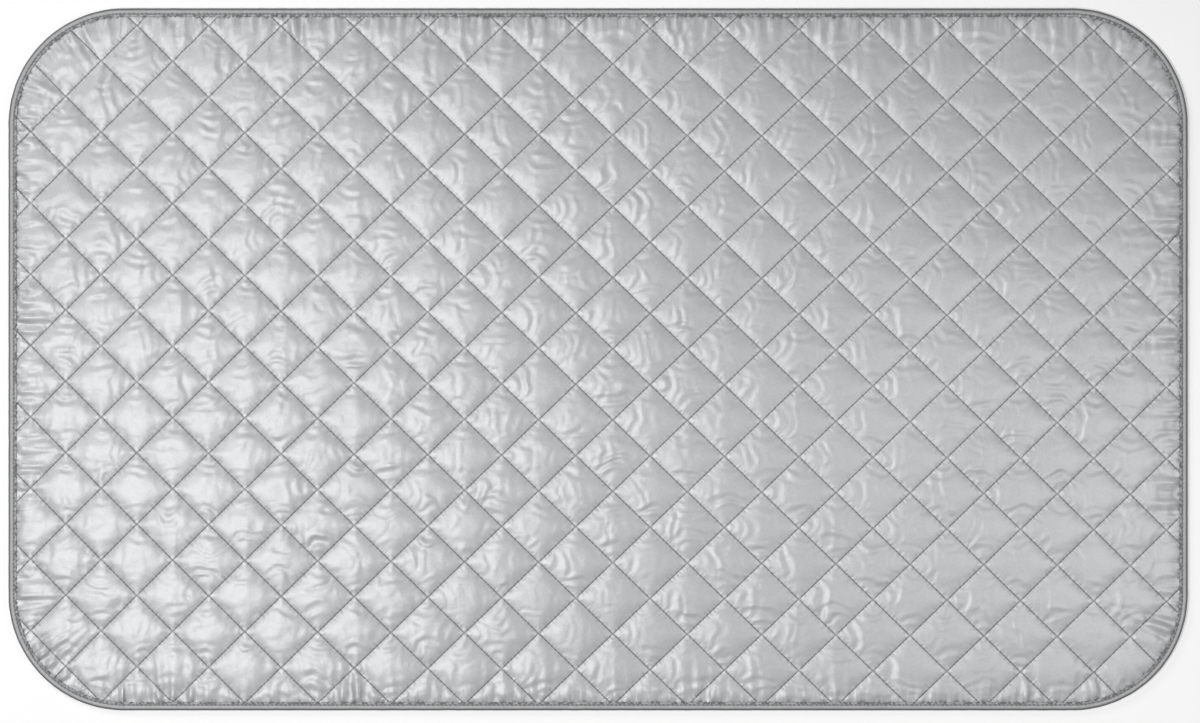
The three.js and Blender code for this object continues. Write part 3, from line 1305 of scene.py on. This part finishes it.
    def build(self) -> bpy.types.Object:
        """Returns:
            The piece.
        """
        grid = self.lattice.grid(self.outline, self.cells, self.inset)
        top = self.shape(grid)
        under = top[grid.rim] * [1, 1, 0] + [0, 0, self.underside]
        count, rim = len(top), len(grid.rim)
        low = count + np.arange(rim)
        wall = np.stack([grid.rim, low, np.roll(low, -1), np.roll(grid.rim, -1)], 1)
        points = np.concatenate([top, under])
        mesh = new_mesh("face_cloth", points, [grid.quads, grid.triangles, wall, low[None, ::-1]])
        self.crease_seams(mesh, grid)
        quilt = np.stack([grid.column, grid.row, 0 * grid.x], 1)
        add_numbers(mesh, "quilt", np.concatenate([quilt, quilt[grid.rim]]))
        edge = np.stack([self.outline.run(grid.x, grid.y), grid.depth, 0 * grid.x], 1) / MM
        add_numbers(mesh, "edge", np.concatenate([edge, edge[grid.rim]]))
        self.lay_map(mesh, points, 4 * len(grid.quads) + 3 * len(grid.triangles))
        piece = add_piece(mesh, self.finish.material(), ("face_cloth",))
        return piece

    def lay_map(self, mesh: bpy.types.Mesh, points: Array, upper: int) -> None:
        """Maps the upper surface over nearly the whole square, and the hidden faces on a strip under it.

        Args:
            mesh: the cloth's mesh.
            points: its vertices.
            upper: how many of its face corners are on the upper surface.
        """
        size = np.array([self.outline.length, self.outline.width])
        share = points[corner_vertices(mesh), :2] / size + 0.5
        places = 0.005 + 0.99 * share * [1, 0.94] + [0, 0.055]
        places[upper:] = 0.005 + 0.99 * share[upper:] * [1, 0.04]
        add_map(mesh, places)


@dataclass
class Wadding:
    """The fibre layer between the two cloths, pressed thin in the binding."""

    outline: PadOutline
    lattice: QuiltLattice
    finish: FibreWadding = field(default_factory=FibreWadding)
    cells: int = 4
    inset: float = 1.0 * MM
    field_bottom: float = 1.15 * MM
    hem_bottom: float = 2.1 * MM
    top: float = 2.5 * MM
    clump: float = 0.05 * MM
    drawn_in: tuple[float, float] = (7 * MM, 19 * MM)
    fill: float = 0.3
    seed: int = 5

    def build(self) -> bpy.types.Object:
        """Builds a flat-topped layer whose underside sinks from the hem to the field.

        The underside is the hem's height less a smooth step over the drawn-in width, and the top
        is level but for the clumps of its fibres.

        Returns:
            The piece.
        """
        grid = self.lattice.grid(self.outline, self.cells, self.inset)
        count = len(grid.x)
        clumps = self.clump * np.random.default_rng(self.seed).standard_normal(count)
        inner = smooth_step(grid.depth, *self.drawn_in)
        top = np.stack([grid.x, grid.y, self.top + np.minimum(clumps, 0) * inner], 1)
        sunk = self.hem_bottom - (self.hem_bottom - self.field_bottom) * inner
        bottom = np.stack([grid.x, grid.y, sunk + np.maximum(clumps, 0) * inner], 1)
        low = grid.rim + count
        wall = np.stack([grid.rim, low, np.roll(low, -1), np.roll(grid.rim, -1)], 1)
        upper = [grid.quads, grid.triangles]
        faces = [*upper, *(block[:, ::-1] + count for block in upper), wall]
        points = np.concatenate([top, bottom])
        mesh = new_mesh("wadding", points, faces)
        mesh.set_sharp_from_angle(angle=math.radians(60))
        flat_map(mesh, points)
        piece = add_piece(mesh, self.finish.material(), ("wadding",))
        return piece


@dataclass
class BackingCloth:
    """The cotton underside, drawn up along the quilting seams and into the binding."""

    outline: PadOutline
    lattice: QuiltLattice
    finish: BackingCotton = field(default_factory=BackingCotton)
    cells: int = 8
    inset: float = 0.9 * MM
    thickness: float = 0.4 * MM
    hem: float = 1.5 * MM
    groove: float = 0.5 * MM
    groove_width: float = 2.2
    half_diamond: float = 17.6
    held: float = 6 * MM
    field_starts: float = 20 * MM
    pucker: float = 0.16 * MM
    pucker_reach: float = 8 * MM
    seed: int = 21

    def gathers(self, grid: LatticeGrid) -> Array:
        """The puckers along the binding, in metres.

        They are uneven waves along the edge that die away inwards exponentially.

        Args:
            grid: the cloth's grid.

        Returns:
            The puckers' height.
        """
        run, way = self.outline.run(grid.x, grid.y), self.outline.perimeter
        near = np.exp(-np.maximum(grid.depth - self.held, 0) / self.pucker_reach)
        near = near * smooth_step(grid.depth, 5.5 * MM, 8 * MM)
        waves = self.pucker * near * (1 + ripple(run, way, 6 * MM, 14 * MM, self.seed, 30) / 2.5)
        return np.maximum(waves, 0)

    def build(self) -> bpy.types.Object:
        """Builds the lower surface and gives it the cloth's thickness upwards.

        The height is a smooth step from the field up to the hem, plus a groove along each seam that
        dies away exponentially with the distance from it, plus the puckers along the binding.

        Returns:
            The piece.
        """
        grid = self.lattice.grid(self.outline, self.cells, self.inset)
        off_fall, off_rise = self.lattice.off_seam(grid.column, grid.row)
        narrow = self.half_diamond / self.groove_width
        grooves = np.maximum(np.exp(-off_fall * narrow), np.exp(-off_rise * narrow))
        inner = smooth_step(grid.depth, self.held, self.field_starts)
        height = self.hem * (1 - inner) + self.groove * grooves * inner + self.gathers(grid)
        points = np.stack([grid.x, grid.y, height], 1)
        mesh = new_mesh("backing_cloth", points, [grid.quads[:, ::-1], grid.triangles[:, ::-1]])
        flat_map(mesh, points)
        piece = add_piece(mesh, self.finish.material(), ("backing_cloth",))
        solid = piece.modifiers.new("thickness", "SOLIDIFY")
        solid.thickness = self.thickness
        solid.offset = -1.0
        length, width = self.outline.length - 2 * self.inset, self.outline.width - 2 * self.inset
        corner = self.outline.corner - self.inset
        area = length * width - (4 - math.pi) * corner**2
        return piece


@dataclass
class EdgeBinding:
    """The tape folded over the edge, dimpled and puckered by its row of stitches."""

    outline: PadOutline
    finish: BindingTape = field(default_factory=BindingTape)
    stations: int = 4096
    stitch: float = 3.0 * MM
    seam_inset: float = 3.9
    rows_of_map: int = 12
    section: tuple[tuple[float, float], ...] = (
        (5.95, 3.32),
        (6.06, 3.54),
        (5.80, 3.72),
        (5.25, 3.76),
        (4.75, 3.70),
        (4.30, 3.58),
        (3.90, 3.50),
        (3.50, 3.58),
        (3.05, 3.74),
        (2.40, 3.88),
        (1.60, 3.84),
        (0.85, 3.56),
        (0.30, 3.05),
        (0.00, 2.35),
        (0.10, 1.55),
        (0.60, 1.00),
        (1.80, 0.80),
        (5.80, 0.82),
        (6.00, 1.05),
        (5.80, 1.28),
        (1.20, 1.50),
        (0.70, 2.30),
        (1.20, 3.10),
        (5.60, 3.24),
    )

    def build(self) -> bpy.types.Object:
        """Carries the section round the outline.

        The stitches pull slanted dimples into the upper leg, one at each needle hole, as a bell
        curve across the seam times a raised cosine along it. The inner edge is drawn down and in
        at each stitch and stands up between them, uneven puckers lift the leg, and the outer fold
        sways by hundredths of a millimetre.

        Returns:
            The piece.
        """
        run, core, outwards = self.outline.stations(self.stations)
        way = self.outline.perimeter
        section = np.array(self.section)
        inset = np.repeat(section[None, :, 0], self.stations, 0)
        height = np.repeat(section[None, :, 1], self.stations, 0)
        upper = smooth_step(height, 2.6, 3.3) * smooth_step(inset, 0.4, 2.0)
        inner = upper * smooth_step(inset, 3.0, 5.8)
        holes = round(way / self.stitch)
        uneven = 0.5 * ripple(run, way, 9 * MM, 30 * MM, 30, 24)[:, None]
        phase = 2 * math.pi * holes / way * run[:, None] + 0.55 * (inset - self.seam_inset) + uneven
        hole = (0.5 + 0.5 * np.cos(phase)) ** 1.5
        valley = np.exp(-(((inset - self.seam_inset) / 0.9) ** 2)) * upper
        puckers = ripple(run, way, 4.5 * MM, 11 * MM, 31, 40)[:, None]
        waves = ripple(run, way, 2.6 * MM, 5.5 * MM, 32, 40)[:, None]
        height += 0.07 * upper * puckers + inner * (0.10 * waves + 0.10 * puckers + 0.20 - 0.42 * hole)
        height -= 0.34 * valley * hole
        inset += inner * (0.16 * waves - 0.30 * hole)
        inset += 0.025 * ripple(run, way, 12 * MM, 60 * MM, 34, 20)[:, None]
        height = np.where(upper > 0.5, np.maximum(height, 3.14), height)
        radius = self.outline.corner - inset * MM
        flat = core[:, None, :] + radius[..., None] * outwards[:, None, :]
        points = np.concatenate([flat, height[..., None] * MM], -1).reshape(-1, 3)
        index = np.arange(len(points)).reshape(self.stations, -1)
        after, beside = np.roll(index, -1, 0), np.roll(index, -1, 1)
        quads = np.stack([index, after, np.roll(after, -1, 1), beside], -1).reshape(-1, 4)
        mesh = new_mesh("edge_binding", points, [quads])
        step = np.hypot(*np.diff(np.vstack([section, section[:1]]), axis=0).T)
        across = np.concatenate([[0], np.cumsum(step)])
        strip = np.stack(np.broadcast_arrays(run[:, None] / MM, across[:-1], valley * hole), -1)
        add_numbers(mesh, "strip", strip.reshape(-1, 3))
        self.lay_map(mesh, across / across[-1])
        return add_piece(mesh, self.finish.material(), ("edge_binding",))

    def lay_map(self, mesh: bpy.types.Mesh, share: Array) -> None:
        """Maps the tape as strips, one above another, with the run along each and the section across it.

        Args:
            mesh: the tape's mesh.
            share: each section point's share of the way round the section, and a last one of 1.
        """
        station, place = np.meshgrid(np.arange(self.stations), np.arange(len(share) - 1), indexing="ij")
        long = self.stations / self.rows_of_map
        row = np.floor(station / long)
        places = []
        for one, two in ((0, 0), (1, 0), (1, 1), (0, 1)):
            along = (station + one - row * long) / (long + 1)
            across = (row + 0.03 + 0.92 * share[place + two]) / self.rows_of_map
            places.append(np.stack([along, across], -1))
        add_map(mesh, np.stack(places, 2).reshape(-1, 2))


@dataclass
class BindingSeam:
    """The lockstitch that holds the binding, one thread above and one below."""

    outline: PadOutline
    finish: bpy.types.Material
    inset: float = 3.9 * MM
    stitch: float = 3.0 * MM
    radius: float = 0.24 * MM
    samples: int = 5

    def path(self, surface: float, lift: float, sink: float) -> Array:
        """A thread's centre line round the pad.

        Each stitch lies on the tape and dips into it at the needle holes; the height is the lift
        times one less the eighth power of a cosine, less the sink times that power.

        Args:
            surface: the tape's height at the stitches.
            lift: how far a stitch's middle stands off it.
            sink: how far the thread goes in at a hole.

        Returns:
            The centre line with how far it is in a hole, (n, 4).
        """
        holes = round(self.outline.perimeter / self.stitch)
        run, core, outwards = self.outline.stations(holes * self.samples)
        phase = math.pi * holes * run / self.outline.perimeter
        dip = np.cos(phase) ** 8
        slant = 0.12 * MM * np.sin(2 * phase)
        flat = core + (self.outline.corner - self.inset + slant)[:, None] * outwards
        return np.column_stack([flat, surface + lift * (1 - dip) - sink * dip, dip])

    def build(self) -> list[bpy.types.Object]:
        """Builds both threads.

        Returns:
            The pieces.
        """
        made = []
        for name, surface, lift, sink in (
            ("binding_thread_top", 3.55 * MM, 0.34 * MM, 0.22 * MM),
            ("binding_thread_under", 0.86 * MM, -0.30 * MM, -0.20 * MM),
        ):
            mesh = tube_mesh(name, [self.path(surface, lift, sink)], self.radius, 6, closed=True)
            made.append(add_piece(mesh, self.finish, (name,)))
        return made


@dataclass
class QuiltingSeams:
    """The quilting's threads: one needle thread for each column, the bobbin threads and the cut ends."""

    outline: PadOutline
    lattice: QuiltLattice
    finish: bpy.types.Material
    stitches: int = 11
    samples: int = 4
    radius: float = 0.17 * MM
    turn_inset: float = 0.70 * MM
    edge: float = 6.3 * MM
    needle: tuple[float, float] = (3.27 * MM, 3.00 * MM)
    bobbin: tuple[float, float] = (0.30 * MM, 0.72 * MM)
    bobbin_radius: float = 0.2 * MM
    bobbin_samples: int = 3

    def zigzag(self, column: int, heights: tuple[float, float], samples: int) -> list[Array]:
        """One needle's path across the pad, cut where the binding covers it.

        The path swings between two columns of crossings, turning short of them; each side holds
        the same number of stitches, and the height goes from the lying height to the hole's by the
        eighth power of a cosine.

        Args:
            column: the left one of its two columns.
            heights: the heights of a lying stitch and of a needle hole.
            samples: points to a stitch.

        Returns:
            The stretches inside the binding, longest first.
        """
        rows = np.arange(-self.lattice.reach[1], self.lattice.reach[1] + 1)
        left = (column + rows) % 2 == 0
        corner_x, corner_y = self.lattice.place(np.where(left, column, column + 1), rows)
        corner_x = corner_x + np.where(left, self.turn_inset, -self.turn_inset)
        step = np.arange((len(rows) - 1) * self.stitches * samples + 1) / (self.stitches * samples)
        x = np.interp(step, np.arange(len(rows)), corner_x)
        y = np.interp(step, np.arange(len(rows)), corner_y)
        dip = np.cos(math.pi * self.stitches * step) ** 8
        lying, hole = heights
        path = np.column_stack([x, y, lying + (hole - lying) * dip, dip])
        inside = np.concatenate([[False], self.outline.depth(x, y) > self.edge, [False]])
        change = np.diff(inside.astype(int))
        starts, ends = np.flatnonzero(change == 1), np.flatnonzero(change == -1)
        stretches = [path[a:b] for a, b in zip(starts, ends) if b - a > samples]
        return sorted(stretches, key=len, reverse=True)

    def build(self) -> list[bpy.types.Object]:
        """Builds a piece for each needle thread, one for the cut ends and one for the bobbin threads.

        Returns:
            The pieces.
        """
        made, ends, under = [], [], []
        first, last = self.lattice.first_column, self.lattice.last_column
        for column in range(first - 1, last + 1):
            stretches = self.zigzag(column, self.needle, self.samples)
            under += self.zigzag(column, self.bobbin, self.bobbin_samples)
            number = column - first + 1
            if 1 <= number <= last - first:
                name = f"quilting_thread_{number:02d}"
                mesh = tube_mesh(name, stretches[:1], self.radius, 5)
                made.append(add_piece(mesh, self.finish, (name,)))
                stretches = stretches[1:]
            ends += stretches
        for mesh in (
            tube_mesh("quilting_thread_ends", ends, self.radius, 5),
            tube_mesh("quilting_bobbin_threads", under, self.bobbin_radius, 4),
        ):
            made.append(add_piece(mesh, self.finish))
        return made


@dataclass(frozen=True)
class Lamp:
    """A soft square lamp."""

    name: str
    place: tuple[float, float, float]
    target: tuple[float, float, float]
    size: float
    power: float


@dataclass
class Studio:
    """The floor, the lamps, the white surroundings and the camera straight above the pad."""

    picture: tuple[int, int] = (1200, 723)
    metres_a_pixel: float = 0.6892 * MM
    pad_middle: tuple[float, float] = (598.1, 359.4)
    lens: float = 85.0
    level: float = 3.0 * MM
    fill: float = 0.04
    sensor: float = 36.0
    floor_reach: float = 4.0
    floor_gap: float = 0.05 * MM
    lamps: tuple[Lamp, ...] = (
        Lamp("left_lamp", (-0.62, -0.18, 1.5), (0.0, -0.05, 0.0), 0.30, 10.8),
        Lamp("right_lamp", (0.553, -0.124, 0.631), (0.0, -0.05, 0.0), 0.20, 0.95),
        Lamp("back_lamp", (-1.45, 1.40, 1.15), (0.0, 0.0, 0.0), 0.60, 10.5),
    )

    def floor(self) -> bpy.types.Object:
        """Lays a wide floor under the pad.

        Returns:
            The floor.
        """
        corners = self.floor_reach * np.array([[-1, -1, 0], [1, -1, 0], [1, 1, 0], [-1, 1, 0]])
        mesh = new_mesh("floor", corners - [0, 0, self.floor_gap], [np.arange(4)[None]])
        mesh.materials.append(PaleFloor().material())
        floor = bpy.data.objects.new("floor", mesh)
        bpy.context.scene.collection.objects.link(floor)
        return floor

    def light(self) -> None:
        """Sets the lamps, which the camera does not see."""
        for lamp in self.lamps:
            data = bpy.data.lights.new(lamp.name, "AREA")
            data.shape = "SQUARE"
            data.size = lamp.size
            data.energy = lamp.power
            made = bpy.data.objects.new(lamp.name, data)
            made.location = lamp.place
            towards = np.array(lamp.target) - np.array(lamp.place)
            made.rotation_euler = Vector(towards).to_track_quat("-Z", "Y").to_euler()
            made.visible_camera = False
            bpy.context.scene.collection.objects.link(made)

    def surroundings(self) -> None:
        """Makes the world white where it is looked at and a soft fill light elsewhere."""
        world = bpy.data.worlds.new("studio")
        bpy.context.scene.world = world
        graph = ShaderGraph(world)
        strength = graph.looked_at().ramp(0.0, 1.0, self.fill, 1.0)
        sockets = {"Color": rgba((1.0, 1.0, 1.0)), "Strength": strength}
        white = graph.node("ShaderNodeBackground", inputs=sockets)
        graph.node("ShaderNodeOutputWorld", inputs={"Surface": white})

    def camera(self) -> None:
        """Puts the camera straight above, so that the pad fills the picture as photographed."""
        data = bpy.data.cameras.new("camera")
        data.lens = self.lens
        data.sensor_width = self.sensor
        made = bpy.data.objects.new("camera", data)
        wide, high = self.picture
        aside = (wide / 2 - self.pad_middle[0]) * self.metres_a_pixel
        below = (self.pad_middle[1] - high / 2) * self.metres_a_pixel
        away = wide * self.metres_a_pixel * self.lens / self.sensor
        made.location = (aside, below, self.level + away)
        bpy.context.scene.collection.objects.link(made)
        bpy.context.scene.camera = made
        bpy.context.scene.view_settings.view_transform = "Standard"

    def build(self) -> None:
        """Sets up everything round the pad."""
        self.floor()
        self.light()
        self.surroundings()
        self.camera()


def main() -> None:
    """Builds the pad's pieces in order, then the studio."""
    logging.basicConfig(level=logging.INFO, format="%(message)s")
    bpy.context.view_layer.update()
    outline = PadOutline()
    lattice = QuiltLattice()
    thread = SewingThread().material()
    Studio().build()
    BackingCloth(outline, lattice).build()
    Wadding(outline, lattice).build()
    FaceCloth(outline, lattice).build()
    EdgeBinding(outline).build()
    BindingSeam(outline, thread).build()
    QuiltingSeams(outline, lattice, thread).build()


if __name__ == "__main__":
    main()
